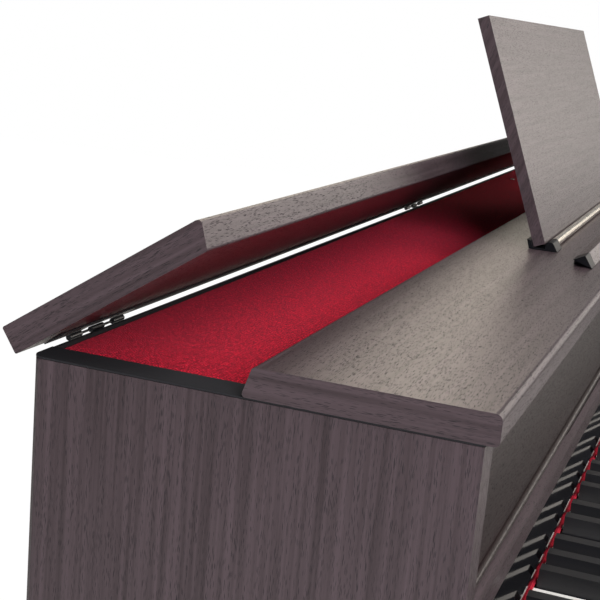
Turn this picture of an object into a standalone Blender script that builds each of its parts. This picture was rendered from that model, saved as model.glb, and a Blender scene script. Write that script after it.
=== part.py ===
"""Console digital piano: a cabinet on two side panels, with a rear-hinged top lid over a cloth-covered
speaker board, a fold-down music desk, a sliding key cover, 88 sprung keys and three pedals.

Metres, +Z up, +X towards the treble end, and the player sits at -Y. The origin is on the floor, in the
middle of the box that holds the piano with its lid open. Depths are measured forwards from the rear
face of the side panels, and drops downwards from the top edge of the side panels.
"""

import math

import bmesh
import bpy
from mathutils import Matrix, Vector

# Clearances
GAP = 0.0003  # between pieces that touch on the real piano
RUN = 0.0005  # beside pieces that slide or turn

# Cabinet
BOARD_END_OVERHANG = 0.001  # of the top board over a side panel's outer face
SIDE_THICK = 0.020
SIDE_TOP = 0.8926  # top edge of the side panels above the floor
SIDE_DEPTH = 0.2292  # of the upper and the lower part of a side panel
SIDE_REAR_RADIUS = 0.007
ARM_DEPTH = 0.4198
ARM_BOTTOM_DROP = 0.235
ARM_PROUD = 0.002  # an arm's top stands this much above the key cover
ARM_STEP_RADIUS = 0.018
ARM_NOSE_RADIUS = 0.014
ARM_CHIN_RADIUS = 0.010
ARM_KNEE_RADIUS = 0.030
SEAL_THICK = 0.0008

# Fixed top board and lid
BOARD_THICK = 0.015
BOARD_FRONT = 0.2357
BOARD_REAR = 0.11375  # depth of its rear bottom edge
BOARD_REAR_BEVEL = 0.00475  # its rear top edge lies this much further forward
BOARD_NOSE_TOP_RADIUS = 0.0033
BOARD_NOSE_BOTTOM_RADIUS = 0.0025
BEVEL_TOP_RADIUS = 0.0022  # of the arrises where the lid and the board meet
BEVEL_BOTTOM_RADIUS = 0.0016
LID_REAR_RADIUS = 0.001
LID_REAR_OVERHANG = 0.00725
LID_JOINT = 0.0008  # between the lid's front bevel and the board
LID_OPEN_ANGLE = math.radians(33.7)

# Lid hinges
LEAF_THICK = 0.0006
KNUCKLE_RADIUS = 0.0016
PIN_RADIUS = 0.0007
HINGE_AXIS_BACK = 0.0055  # behind the side panels' rear face
HINGE_LENGTH = 0.058
OUTER_KNUCKLE = 0.012
MIDDLE_KNUCKLE = 0.013
HINGE_END_INSET = 0.0735  # from a side panel's outer face to an end hinge's middle
HINGE_MIDDLE_SHIFT = 0.023  # the middle hinge sits this far from the cabinet's middle, to the treble
FLAP_REACH = 0.0115  # of a hinge's flap forwards of the axis
FIXED_LEAF_HEIGHT = 0.018
LID_STRIP_REAR = 0.0042  # behind the side panels' rear face
LID_STRIP_FRONT = 0.0075

# Rear of the cabinet
RAIL_BACK = 0.001  # the rail stands this much behind the side panels' rear face
RAIL_FRONT = 0.001
RAIL_HEIGHT = 0.012
RAIL_TOP_BASS_DROP = -0.0002  # the rail's top edge falls a little towards the treble end
RAIL_TOP_TREBLE_DROP = 0.0013
REAR_PANEL_THICK = 0.009
REAR_PANEL_BOTTOM_DROP = 0.300

# Speaker board under the lid
CLOTH_DROP = 0.0013
CLOTH_BOARD_THICK = 0.010
CLOTH_BOARD_UNDER_TOP = 0.010  # how far it runs forwards under the top board

# Front panel and bead
FRONT_PANEL_FACE = 0.2195
FRONT_PANEL_THICK = 0.012
BEAD_RADIUS = 0.0021
BEAD_PROUD = 0.0014  # its centre stands this much before the panel's face
BEAD_DROP = 0.0901

# Sliding key cover
COVER_SLOPE = math.radians(12)
COVER_FRONT = 0.227
COVER_FRONT_DROP = 0.0969  # of the lip's top front edge
COVER_THICK = 0.008
COVER_LENGTH = 0.178
COVER_TRAVEL = 0.168
LIP_HEIGHT = 0.0174
LIP_THICK = 0.012
LIP_CHIN_RADIUS = 0.005
GROOVE_HALF_LENGTH = 0.3415
GROOVE_FRONT = 0.2219
GROOVE_WIDTH = 0.010
GROOVE_DEPTH = 0.003

# Control panel and felt
CONTROL_REAR = 0.210
CONTROL_TOP = (0.222, 0.118)  # depth and drop
CONTROL_ARRIS = (0.230, 0.142)
CONTROL_BOTTOM_DROP = 0.149
FELT_PROUD = 0.0017
FELT_WIDTH = 0.008
FELT_THICK = 0.0016
KNOB_RADIUS = 0.0055
KNOB_HEIGHT = 0.006
KNOB_FROM_KEYS_END = 0.020
BUTTON_WIDTH = 0.012
BUTTON_HEIGHT = 0.007
BUTTON_PROUD = 0.0016
BUTTON_INSIDE = 0.003
BUTTON_TRAVEL = 0.0010

# Keyboard
WHITE_KEYS = 52
WHITE_PITCH = 0.0236
WHITE_GAP = 0.001
WHITE_SHOWING = 0.150  # from the felt to a white key's front
WHITE_HEIGHT = 0.020
WHITE_LIP = 0.0015
WHITE_LIP_THICK = 0.003
KEY_TOP_DROP = 0.1515
BLACK_WIDTH = 0.011
BLACK_TOP_WIDTH = 0.0092
BLACK_SHOWING = 0.095
BLACK_RISE = 0.012
BLACK_FRONT_SLOPE = 0.006
KEY_REAR = 0.150
KEY_PIVOT_DEPTH = 0.156
KEY_BAR = 0.006  # size of the bars that join the keys of a bank
OWN_PIVOT_KEYS = 12  # the lowest keys, each on its own pivot
KEY_CHEEK_GAP = 0.0006
CHASSIS_BASE = 0.0067

# Keybed, cheeks and slip
KEYBED_THICK = 0.020
SLIP_REAR = 0.3855
SLIP_FRONT = 0.416
SLIP_TOP_DROP = 0.150
SLIP_RADIUS = 0.007
CHEEK_REAR = 0.045
CHEEK_WIDTH = 0.053

# Music desk
DESK_HALF_WIDTH = 0.2425
DESK_THICK = 0.009
DESK_HEIGHT = 0.180
DESK_LEAN = math.radians(21)
ROD_DEPTH = 0.178
ROD_LIFT = 0.0039  # the rod's axis above the top board
ROD_RADIUS = 0.0035
JOURNAL_RADIUS = 0.002
FOOT_OUTSIDE = 0.0035  # a foot reaches this much past the desk's end
FOOT_LENGTH = 0.0215
FOOT_BASE = 0.001
FOOT_EAR_HEIGHT = 0.0055
FOOT_EAR_THICK = 0.003
FOOT_BLOCK_RADIUS = 0.0034
FOOT_TOE = 0.006  # forwards of the rod's axis
FOOT_END_WALL = 0.003  # outside the journal's bore

# Page ledge
LEDGE_HALF_LENGTH = 0.2775
LEDGE_REAR = 0.2031
LEDGE_REAR_SLOPE = 0.0087  # how far its rear slope runs forwards
LEDGE_FRONT_SLOPE = 0.0058
LEDGE_ARRIS = 0.0008
LEDGE_REAR_HEIGHT = 0.0048
LEDGE_CREST_HEIGHT = 0.009
CAP_LENGTH = 0.0185
CAP_END_SLANT = 0.010

# Feet of the piano
TOE_HEIGHT = 0.060
TOE_WIDTH = 0.040
TOE_DEPTH = 0.408
TOE_RADIUS = 0.012
GLIDE_HEIGHT = 0.003
GLIDE_RADIUS = 0.014
LEG_SIZE = 0.040
LEG_FOOT_SIZE = 0.032
LEG_FRONT = 0.402
KICK_REAR = 0.040
KICK_THICK = 0.012
KICK_TOP = 0.300

# Pedals
PEDAL_BOX_HALF_WIDTH = 0.165
PEDAL_BOX_FRONT = 0.215
PEDAL_BOX_BOTTOM = 0.030
PEDAL_BOX_TOP = 0.105
PEDAL_SPACING = 0.075
PEDAL_WIDTH = 0.020
PEDAL_TOE_WIDTH = 0.032
PEDAL_NECK_SHARE = 0.45
PEDAL_THICK = 0.007
PEDAL_FRONT = 0.300
PEDAL_LEVEL = 0.064
PEDAL_AXLE_RADIUS = 0.002
PEDAL_AXLE_DEPTH = 0.207
PEDAL_NOTCH_BACK = 0.199
PEDAL_NOTCH_HEIGHT = 0.020
PEDAL_NOTCH_CLEARANCE = 0.0008
ADJUSTER_RADIUS = 0.013
ADJUSTER_STEM_RADIUS = 0.005
ADJUSTER_HEIGHT = 0.016
# Share of the foot's radius left at its two faces, and of its height taken by each edge
ADJUSTER_FACE = 0.9
ADJUSTER_EDGE = 0.15
ADJUSTER_TRAVEL = 0.008
ADJUSTER_FLOOR_GAP = 0.0004

# Power inlet
INLET_X = 0.420
INLET_DROP = 0.200
INLET_WIDTH = 0.030
INLET_HEIGHT = 0.022
INLET_PROUD = 0.010
SOCKET_WIDTH = 0.019
SOCKET_HEIGHT = 0.0085
SOCKET_DEPTH = 0.0075
PRONG_RADIUS = 0.0012
PRONG_SPACING = 0.0086

# Values that follow
KEYS_HALF = WHITE_KEYS * WHITE_PITCH / 2
CHEEK_IN = KEYS_HALF + KEY_CHEEK_GAP
SIDE_IN = CHEEK_IN + CHEEK_WIDTH + GAP
SIDE_OUT = SIDE_IN + SIDE_THICK
BOARD_END = SIDE_OUT + BOARD_END_OVERHANG
ARM_BOTTOM = SIDE_TOP - ARM_BOTTOM_DROP
BOARD_BOTTOM = SIDE_TOP + SEAL_THICK + 2 * GAP
BOARD_TOP = BOARD_BOTTOM + BOARD_THICK
HINGE_AXIS_Z = BOARD_BOTTOM - GAP - KNUCKLE_RADIUS
KEY_TOP = SIDE_TOP - KEY_TOP_DROP
KEY_BOTTOM = KEY_TOP - WHITE_HEIGHT
FELT_FRONT = CONTROL_ARRIS[0] + FELT_PROUD
WHITE_FRONT = FELT_FRONT + WHITE_SHOWING
BLACK_REAR = FELT_FRONT + GAP + WHITE_GAP
BLACK_FRONT = BLACK_REAR + BLACK_SHOWING
KEYBED_TOP = ARM_BOTTOM + KEYBED_THICK
CONTROL_HALF = CHEEK_IN - GAP
RISER_TOP = KEY_BOTTOM - GAP - 0.0001


def lid_reach():
    """How far the open lid's rounded rear top edge lies behind the side panels' rear face."""
    back = LID_REAR_OVERHANG - LID_REAR_RADIUS - HINGE_AXIS_BACK
    up = BOARD_TOP - LID_REAR_RADIUS - HINGE_AXIS_Z
    return HINGE_AXIS_BACK + back * math.cos(LID_OPEN_ANGLE) + up * math.sin(LID_OPEN_ANGLE) + LID_REAR_RADIUS


REAR = (ARM_DEPTH - lid_reach()) / 2  # Y of the side panels' rear face
HINGE_AXIS = Vector((0, REAR + HINGE_AXIS_BACK, HINGE_AXIS_Z))
ROD_AXIS = Vector((0, REAR - ROD_DEPTH, BOARD_TOP + ROD_LIFT))
KEY_AXIS = Vector((0, REAR - KEY_PIVOT_DEPTH, RISER_TOP))
PEDAL_AXIS = Vector((0, REAR - PEDAL_AXLE_DEPTH, PEDAL_LEVEL))


def cover_top(depth):
    """Height of the key cover's top surface, which is the same at every place of its travel."""
    return SIDE_TOP - COVER_FRONT_DROP + (COVER_FRONT - depth) * math.tan(COVER_SLOPE)


def cover_bottom(depth):
    return cover_top(depth) - COVER_THICK / math.cos(COVER_SLOPE)


def arm_top(depth):
    return cover_top(depth) + ARM_PROUD


# Collections
for old in list(bpy.data.objects):
    bpy.data.objects.remove(old)
piano = bpy.data.collections.new("digital_piano")
cutters = bpy.data.collections.new("cutters")
for collection in (piano, cutters):
    bpy.context.scene.collection.children.link(collection)


def material(name, color, roughness, metallic=0.0):
    new = bpy.data.materials.new(name)
    new.use_nodes = True
    shader = new.node_tree.nodes["Principled BSDF"]
    shader.inputs["Base Color"].default_value = (*color, 1)
    shader.inputs["Roughness"].default_value = roughness
    shader.inputs["Metallic"].default_value = metallic
    return new


WOOD = ((0.060, 0.045, 0.042), 0.42, 0.0)
BLACK = ((0.010, 0.010, 0.011), 0.45, 0.0)
GLOSS_BLACK = ((0.008, 0.008, 0.009), 0.12, 0.0)
RED = ((0.30, 0.008, 0.018), 0.90, 0.0)
IVORY = ((0.80, 0.79, 0.75), 0.25, 0.0)
EBONY = ((0.012, 0.012, 0.012), 0.40, 0.0)
BRIGHT = ((0.70, 0.68, 0.64), 0.22, 1.0)
BRASS = ((0.72, 0.52, 0.24), 0.25, 1.0)
GREY = ((0.16, 0.16, 0.17), 0.50, 0.0)


def keep(name, mesh, look, collection=piano):
    """An object for a finished mesh that is in world coordinates."""
    obj = bpy.data.objects.new(name, mesh)
    collection.objects.link(obj)
    if collection is piano:
        mesh.materials.clear()
        mesh.materials.append(material(name, *look))
    else:
        obj.hide_render = True
        obj.display_type = "WIRE"
    return obj


def hang(obj, pivot, angle=0.0):
    """Puts an object's origin on its joint's axis, and turns it there about X."""
    obj.data.transform(Matrix.Translation(-pivot))
    obj.location = pivot
    obj.rotation_euler = (angle, 0, 0)
    return obj


def mesh_of(name, edit):
    mesh = bpy.data.meshes.new(name)
    bmesh.ops.recalc_face_normals(edit, faces=edit.faces)
    edit.to_mesh(mesh)
    edit.free()
    return mesh


def sheet(name, outline, thickness, place, look, holes=(), collection=piano):
    """A flat outline with holes as a filled curve, made a mesh of this thickness and placed by a matrix."""
    curve = bpy.data.curves.new(name + "_outline", "CURVE")
    curve.dimensions = "2D"
    curve.fill_mode = "BOTH"
    curve.extrude = thickness / 2
    for ring in (outline, *holes):
        spline = curve.splines.new("POLY")
        spline.points.add(len(ring) - 1)
        spline.use_cyclic_u = True
        for point, (across, up) in zip(spline.points, ring):
            point.co = (across, up, 0, 1)
    drawn = bpy.data.objects.new(name + "_outline", curve)
    piano.objects.link(drawn)
    graph = bpy.context.evaluated_depsgraph_get()
    mesh = bpy.data.meshes.new_from_object(drawn.evaluated_get(graph))
    bpy.data.objects.remove(drawn)
    bpy.data.curves.remove(curve)
    edit = bmesh.new()
    edit.from_mesh(mesh)
    bpy.data.meshes.remove(mesh)
    bmesh.ops.remove_doubles(edit, verts=edit.verts, dist=1e-6)
    bmesh.ops.transform(edit, matrix=place, verts=edit.verts)
    return keep(name, mesh_of(name, edit), look, collection)


def along_x(name, outline, low, high, look, holes=(), collection=piano):
    """A section of (depth, height) points, from low to high along X."""
    turn = Matrix(((0, 0, 1, (low + high) / 2), (1, 0, 0, 0), (0, 1, 0, 0), (0, 0, 0, 1)))
    section = [(REAR - depth, height) for depth, height in outline]
    rings = [[(REAR - depth, height) for depth, height in hole] for hole in holes]
    return sheet(name, section, high - low, turn, look, rings, collection)


def box(name, x, depth, height, look, collection=piano):
    """A block between pairs of X values, depths and heights."""
    size = (x[1] - x[0], depth[1] - depth[0], height[1] - height[0])
    middle = Vector((sum(x) / 2, REAR - sum(depth) / 2, sum(height) / 2))
    edit = bmesh.new()
    bmesh.ops.create_cube(edit, size=1, matrix=Matrix.Translation(middle) @ Matrix.Diagonal((*size, 1)))
    return keep(name, mesh_of(name, edit), look, collection)


def rod(name, x, centre, radius, look, segments=16, collection=piano):
    """A round bar along X, with its axis through centre."""
    place = Matrix.Translation((sum(x) / 2, centre.y, centre.z)) @ Matrix.Rotation(math.pi / 2, 4, "Y")
    edit = bmesh.new()
    bmesh.ops.create_cone(
        edit,
        cap_ends=True,
        segments=segments,
        radius1=radius,
        radius2=radius,
        depth=x[1] - x[0],
        matrix=place,
    )
    return keep(name, mesh_of(name, edit), look, collection)


def turned(name, profile, place, look, segments=24):
    """A profile of (radius, height) points turned about its Z axis, then placed by a matrix."""
    edit = bmesh.new()
    points = [edit.verts.new((radius, 0, height)) for radius, height in profile]
    edges = [edit.edges.new(pair) for pair in zip(points, points[1:])]
    bmesh.ops.spin(
        edit,
        geom=points + edges,
        cent=(0, 0, 0),
        axis=(0, 0, 1),
        dvec=(0, 0, 0),
        angle=2 * math.pi,
        steps=segments,
    )
    bmesh.ops.remove_doubles(edit, verts=edit.verts, dist=1e-6)
    bmesh.ops.transform(edit, matrix=place, verts=edit.verts)
    obj = keep(name, mesh_of(name, edit), look)
    smooth(obj)
    return obj


def smooth(obj):
    obj.data.shade_smooth()
    obj.data.set_sharp_from_angle(angle=math.radians(35))


def cut(obj, tool, operation="DIFFERENCE"):
    modifier = obj.modifiers.new(tool.name, "BOOLEAN")
    modifier.operation = operation
    modifier.object = tool
    return obj


def arc(centre, radius, start, end, steps):
    """Points on an arc, with angles in degrees from the forward direction towards the top."""
    turns = [math.radians(start + (end - start) * step / steps) for step in range(steps + 1)]
    return [(centre[0] + radius * math.cos(turn), centre[1] + radius * math.sin(turn)) for turn in turns]


def rounded(*corners, steps=3):
    """An outline from corners of (depth, height, radius), with an arc in each that has a radius."""
    outline = []
    for index, (depth, height, radius) in enumerate(corners):
        here = Vector((depth, height))
        back = (Vector(corners[index - 1][:2]) - here).normalized()
        on = (Vector(corners[(index + 1) % len(corners)][:2]) - here).normalized()
        half = back.angle(on) / 2
        centre = here + (back + on).normalized() * radius / math.sin(half)
        start = here + back * radius / math.tan(half) - centre
        end = here + on * radius / math.tan(half) - centre
        sweep = math.pi - 2 * half
        count = steps if radius else 0
        for step in range(count + 1):
            turn = sweep * step / max(count, 1)
            spoke = (start * math.sin(sweep - turn) + end * math.sin(turn)) / math.sin(sweep)
            outline.append(tuple(centre + spoke))
    return outline


def round_edges(obj, wanted, radius, segments=4):
    """Rounds the edges of a mesh whose two ends pass a test."""
    edit = bmesh.new()
    edit.from_mesh(obj.data)
    edges = [edge for edge in edit.edges if all(wanted(vert.co) for vert in edge.verts)]
    bmesh.ops.bevel(edit, geom=edges, offset=radius, segments=segments, profile=0.5, affect="EDGES")
    edit.to_mesh(obj.data)
    edit.free()
    smooth(obj)
    return obj


# Side panels, with an arm beside the keys, and the sealing strips on their top edges
slope = math.degrees(COVER_SLOPE)
step_centre_depth = SIDE_DEPTH + ARM_STEP_RADIUS
step_centre = (step_centre_depth, arm_top(step_centre_depth) + ARM_STEP_RADIUS / math.cos(COVER_SLOPE))
nose_centre_depth = ARM_DEPTH - ARM_NOSE_RADIUS
nose_centre = (nose_centre_depth, arm_top(nose_centre_depth) - ARM_NOSE_RADIUS / math.cos(COVER_SLOPE))
side_outline = [
    (0, TOE_HEIGHT + GAP),
    (0, SIDE_TOP),
    (SIDE_DEPTH, SIDE_TOP),
    *arc(step_centre, ARM_STEP_RADIUS, 180, 270 - slope, 5),
    *arc(nose_centre, ARM_NOSE_RADIUS, 90 - slope, 0, 5),
    *arc((ARM_DEPTH - ARM_CHIN_RADIUS, ARM_BOTTOM + ARM_CHIN_RADIUS), ARM_CHIN_RADIUS, 0, -90, 4),
    *arc((SIDE_DEPTH + ARM_KNEE_RADIUS, ARM_BOTTOM - ARM_KNEE_RADIUS), ARM_KNEE_RADIUS, 90, 180, 5),
    (SIDE_DEPTH, TOE_HEIGHT + GAP),
]
seal_level = SIDE_TOP + GAP + SEAL_THICK / 2
for side, sign in (("left", -1), ("right", 1)):
    ends = sorted((sign * SIDE_IN, sign * SIDE_OUT))
    panel = along_x(f"{side}_side_panel", side_outline, *ends, WOOD)
    round_edges(
        panel,
        lambda co, sign=sign: abs(co.x - sign * SIDE_OUT) < 1e-5 and abs(co.y - REAR) < 1e-5,
        SIDE_REAR_RADIUS,
    )
    corner = (sign * (SIDE_OUT - SIDE_REAR_RADIUS), REAR - SIDE_REAR_RADIUS)
    seal_plan = [
        (sign * SIDE_OUT, REAR - SIDE_DEPTH + GAP),
        *((corner[0] + sign * (x - corner[0]), y) for x, y in arc(corner, SIDE_REAR_RADIUS, 0, 90, 5)),
        (sign * SIDE_IN, REAR),
        (sign * SIDE_IN, REAR - SIDE_DEPTH + GAP),
    ]
    sheet(f"{side}_top_seal", seal_plan, SEAL_THICK, Matrix.Translation((0, 0, seal_level)), BLACK)

# Rear panel and the rail above it, whose top edge falls towards the treble end
inside = (-SIDE_IN + GAP, SIDE_IN - GAP)
rail_bottom = SIDE_TOP - RAIL_HEIGHT
rail = box("rear_rail", inside, (-RAIL_BACK, RAIL_FRONT), (rail_bottom, SIDE_TOP - RAIL_TOP_BASS_DROP), BLACK)
for vert in rail.data.vertices:
    if vert.co.x > 0 and vert.co.z > rail_bottom + GAP:
        vert.co.z = SIDE_TOP - RAIL_TOP_TREBLE_DROP
box(
    "rear_panel",
    inside,
    (0, REAR_PANEL_THICK),
    (SIDE_TOP - REAR_PANEL_BOTTOM_DROP, rail_bottom - GAP),
    GREY,
)

# Speaker board, covered in cloth
box(
    "cloth_panel",
    inside,
    (RAIL_FRONT + GAP, BOARD_REAR + CLOTH_BOARD_UNDER_TOP),
    (SIDE_TOP - CLOTH_DROP - CLOTH_BOARD_THICK, SIDE_TOP - CLOTH_DROP),
    RED,
)

# Top board
board_ends = (-BOARD_END, BOARD_END)
board_outline = rounded(
    (BOARD_REAR, BOARD_BOTTOM, BEVEL_BOTTOM_RADIUS),
    (BOARD_FRONT, BOARD_BOTTOM, BOARD_NOSE_BOTTOM_RADIUS),
    (BOARD_FRONT, BOARD_TOP, BOARD_NOSE_TOP_RADIUS),
    (BOARD_REAR + BOARD_REAR_BEVEL, BOARD_TOP, BEVEL_TOP_RADIUS),
    steps=4,
)
smooth(along_x("top_board", board_outline, *board_ends, WOOD))

# Front panel with the bead along its bottom edge
panel_rear = FRONT_PANEL_FACE - FRONT_PANEL_THICK
bead_centre = (FRONT_PANEL_FACE + BEAD_PROUD, SIDE_TOP - BEAD_DROP)
bead_top_angle = math.degrees(math.acos(-BEAD_PROUD / BEAD_RADIUS))
front_outline = [
    (panel_rear, bead_centre[1] - BEAD_RADIUS),
    (panel_rear, BOARD_BOTTOM - GAP),
    (FRONT_PANEL_FACE, BOARD_BOTTOM - GAP),
    *arc(bead_centre, BEAD_RADIUS, bead_top_angle, -90, 9),
]
smooth(along_x("front_panel", front_outline, *inside, WOOD))

# Lid, built closed and then opened about the hinges' axis
lid_outline = rounded(
    (-LID_REAR_OVERHANG, BOARD_BOTTOM, LID_REAR_RADIUS),
    (-LID_REAR_OVERHANG, BOARD_TOP, LID_REAR_RADIUS),
    (BOARD_REAR + BOARD_REAR_BEVEL - LID_JOINT, BOARD_TOP, BEVEL_TOP_RADIUS),
    (BOARD_REAR - LID_JOINT, BOARD_BOTTOM, BEVEL_BOTTOM_RADIUS),
)
lid = along_x("lid", lid_outline, *board_ends, WOOD)
smooth(lid)
hang(lid, HINGE_AXIS, -LID_OPEN_ANGLE)

# Hinges: a flap with two knuckles under the lid, and a fixed leaf with a knuckle and the pin behind the rail
hinge_middles = (
    ("left", -SIDE_OUT + HINGE_END_INSET),
    ("middle", HINGE_MIDDLE_SHIFT),
    ("right", SIDE_OUT - HINGE_END_INSET),
)
leaf_top = BOARD_BOTTOM - GAP
knuckle_clear = MIDDLE_KNUCKLE / 2 + RUN
fixed_face = -(RAIL_BACK + GAP)
fixed_leaf_top = HINGE_AXIS_Z - KNUCKLE_RADIUS + LEAF_THICK
axis_point = (-HINGE_AXIS_BACK, HINGE_AXIS_Z)
for where, middle in hinge_middles:
    half = HINGE_LENGTH / 2
    flap_front = FLAP_REACH - HINGE_AXIS_BACK
    flap_neck = half - OUTER_KNUCKLE
    flap_plan = [
        (-half, REAR + HINGE_AXIS_BACK),
        (-half, REAR - flap_front),
        (half, REAR - flap_front),
        (half, REAR + HINGE_AXIS_BACK),
        (flap_neck, REAR + HINGE_AXIS_BACK),
        (flap_neck, REAR - RAIL_BACK),
        (-flap_neck, REAR - RAIL_BACK),
        (-flap_neck, REAR + HINGE_AXIS_BACK),
    ]
    flat = Matrix.Translation((middle, 0, leaf_top - LEAF_THICK / 2))
    flap = sheet(f"hinge_flap_{where}", flap_plan, LEAF_THICK, flat, BLACK)
    bore = arc(axis_point, PIN_RADIUS + GAP, 0, 360, 12)[:-1]
    ring = arc(axis_point, KNUCKLE_RADIUS, 0, 360, 16)[:-1]
    for end in (-1, 1):
        knuckle = sorted((middle + end * half, middle + end * flap_neck))
        tool = along_x(f"{where}_knuckle_{end + 1}", ring, *knuckle, BLACK, holes=(bore,), collection=cutters)
        cut(flap, tool, "UNION")
        hang(tool, HINGE_AXIS, -LID_OPEN_ANGLE)
    hang(flap, HINGE_AXIS, -LID_OPEN_ANGLE)

    leaf = box(
        f"hinge_leaf_{where}",
        (middle - half, middle + half),
        (fixed_face - LEAF_THICK, fixed_face),
        (fixed_leaf_top - FIXED_LEAF_HEIGHT, fixed_leaf_top),
        BLACK,
    )
    inner = (middle - MIDDLE_KNUCKLE / 2, middle + MIDDLE_KNUCKLE / 2)
    web = [
        (fixed_face - LEAF_THICK / 2, fixed_leaf_top - LEAF_THICK),
        (fixed_face - LEAF_THICK / 2, fixed_leaf_top),
        (-HINGE_AXIS_BACK, fixed_leaf_top),
        (-HINGE_AXIS_BACK, fixed_leaf_top - LEAF_THICK),
    ]
    cut(leaf, along_x(f"{where}_web", web, *inner, BLACK, collection=cutters), "UNION")
    barrel = rod(f"{where}_fixed_knuckle", inner, HINGE_AXIS, KNUCKLE_RADIUS, BLACK, collection=cutters)
    cut(leaf, barrel, "UNION")
    ends = (middle - half, middle + half)
    pin = rod(f"{where}_pin", ends, HINGE_AXIS, PIN_RADIUS, BLACK, segments=12, collection=cutters)
    cut(leaf, pin, "UNION")

# Black strip under the lid's rear edge, notched for the hinges
strip_rear = REAR + LID_STRIP_REAR
strip_notch = REAR - (FLAP_REACH - HINGE_AXIS_BACK) - RUN
strip_front = REAR - LID_STRIP_FRONT
strip_half = SIDE_IN - RUN
strip_plan = [(-strip_half, strip_front), (-strip_half, strip_rear)]
for where, middle in hinge_middles:
    notch = HINGE_LENGTH / 2 + RUN
    strip_plan += [
        (middle - notch, strip_rear),
        (middle - notch, strip_notch),
        (middle + notch, strip_notch),
        (middle + notch, strip_rear),
    ]
strip_plan += [(strip_half, strip_rear), (strip_half, strip_front)]
strip_place = Matrix.Translation((0, 0, leaf_top - LEAF_THICK / 2))
strip = sheet("lid_strip", strip_plan, LEAF_THICK, strip_place, BLACK)
hang(strip, HINGE_AXIS, -LID_OPEN_ANGLE)

# Key cover: a sloping panel with a lip, which is lower between the cheeks, and a finger groove on top
cover_rear = COVER_FRONT - COVER_LENGTH * math.cos(COVER_SLOPE)
cover_outline = [
    (cover_rear, cover_bottom(cover_rear)),
    (cover_rear, cover_top(cover_rear)),
    (COVER_FRONT, cover_top(COVER_FRONT)),
    (COVER_FRONT, cover_bottom(COVER_FRONT)),
]
cover = along_x("key_cover", cover_outline, -SIDE_IN + RUN, SIDE_IN - RUN, WOOD)
lip_bottom = cover_top(COVER_FRONT) - LIP_HEIGHT
lip_rear = COVER_FRONT - LIP_THICK
lip_outline = [
    (lip_rear, lip_bottom),
    (lip_rear, cover_bottom(lip_rear) + GAP),
    (COVER_FRONT, cover_bottom(COVER_FRONT) + GAP),
    *arc((COVER_FRONT - LIP_CHIN_RADIUS, lip_bottom + LIP_CHIN_RADIUS), LIP_CHIN_RADIUS, 0, -90, 4),
]
lip_half = CONTROL_HALF - RUN
cut(cover, along_x("cover_lip", lip_outline, -lip_half, lip_half, WOOD, collection=cutters), "UNION")
groove_rear = GROOVE_FRONT - GROOVE_WIDTH
groove = [
    (groove_rear, cover_top(groove_rear) + GROOVE_DEPTH),
    (groove_rear, cover_top(groove_rear) - GROOVE_DEPTH),
    (GROOVE_FRONT, cover_top(GROOVE_FRONT) - GROOVE_DEPTH),
    (GROOVE_FRONT, cover_top(GROOVE_FRONT) + GROOVE_DEPTH),
]
cut(cover, along_x("cover_groove", groove, -GROOVE_HALF_LENGTH, GROOVE_HALF_LENGTH, WOOD, collection=cutters))

# Control panel between the cheeks, its felt, the volume knob and the power button
control_outline = [
    (CONTROL_REAR, SIDE_TOP - CONTROL_BOTTOM_DROP),
    (CONTROL_REAR, SIDE_TOP - CONTROL_TOP[1]),
    (CONTROL_TOP[0], SIDE_TOP - CONTROL_TOP[1]),
    (CONTROL_ARRIS[0], SIDE_TOP - CONTROL_ARRIS[1]),
    (CONTROL_ARRIS[0], SIDE_TOP - CONTROL_BOTTOM_DROP),
]
control = along_x("control_panel", control_outline, -CONTROL_HALF, CONTROL_HALF, GLOSS_BLACK)
felt_top = SIDE_TOP - CONTROL_BOTTOM_DROP - GAP
felt_depths = (FELT_FRONT - FELT_WIDTH, FELT_FRONT)
felt_heights = (felt_top - FELT_THICK, felt_top)
box("key_felt", (-CONTROL_HALF, CONTROL_HALF), felt_depths, felt_heights, RED)

face_run = CONTROL_ARRIS[0] - CONTROL_TOP[0]
face_fall = CONTROL_ARRIS[1] - CONTROL_TOP[1]
face_out = Vector((0, -face_fall, face_run)).normalized()
face_up = Vector((0, face_run, face_fall)).normalized()
face_middle = Vector(
    (0, REAR - (CONTROL_TOP[0] + CONTROL_ARRIS[0]) / 2, SIDE_TOP - (CONTROL_TOP[1] + CONTROL_ARRIS[1]) / 2)
)


def on_face(x, out):
    """A frame on the control panel's face: local Z points out of it, local Y up along it."""
    place = Matrix((Vector((1, 0, 0)), face_up, face_out)).transposed().to_4x4()
    place.translation = face_middle + Vector((x, 0, 0)) + face_out * out
    return place


knob_place = on_face(-KEYS_HALF + KNOB_FROM_KEYS_END, GAP)
knob_profile = [
    (0, 0),
    (KNOB_RADIUS, 0),
    (KNOB_RADIUS * 0.94, KNOB_HEIGHT * 0.85),
    (KNOB_RADIUS * 0.80, KNOB_HEIGHT),
    (0, KNOB_HEIGHT),
]
knob = turned("volume_knob", knob_profile, knob_place, BLACK)
knob.data.transform(Matrix.Translation(-knob_place.translation))
knob.location = knob_place.translation


def face_block(name, x, out, margin, collection, look=BLACK):
    """A block on the control panel's face, between two distances out of it and wider by a margin."""
    size = (BUTTON_WIDTH + 2 * margin, BUTTON_HEIGHT + 2 * margin, out[1] - out[0])
    edit = bmesh.new()
    bmesh.ops.create_cube(edit, size=1, matrix=on_face(x, sum(out) / 2) @ Matrix.Diagonal((*size, 1)))
    return keep(name, mesh_of(name, edit), look, collection)


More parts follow.
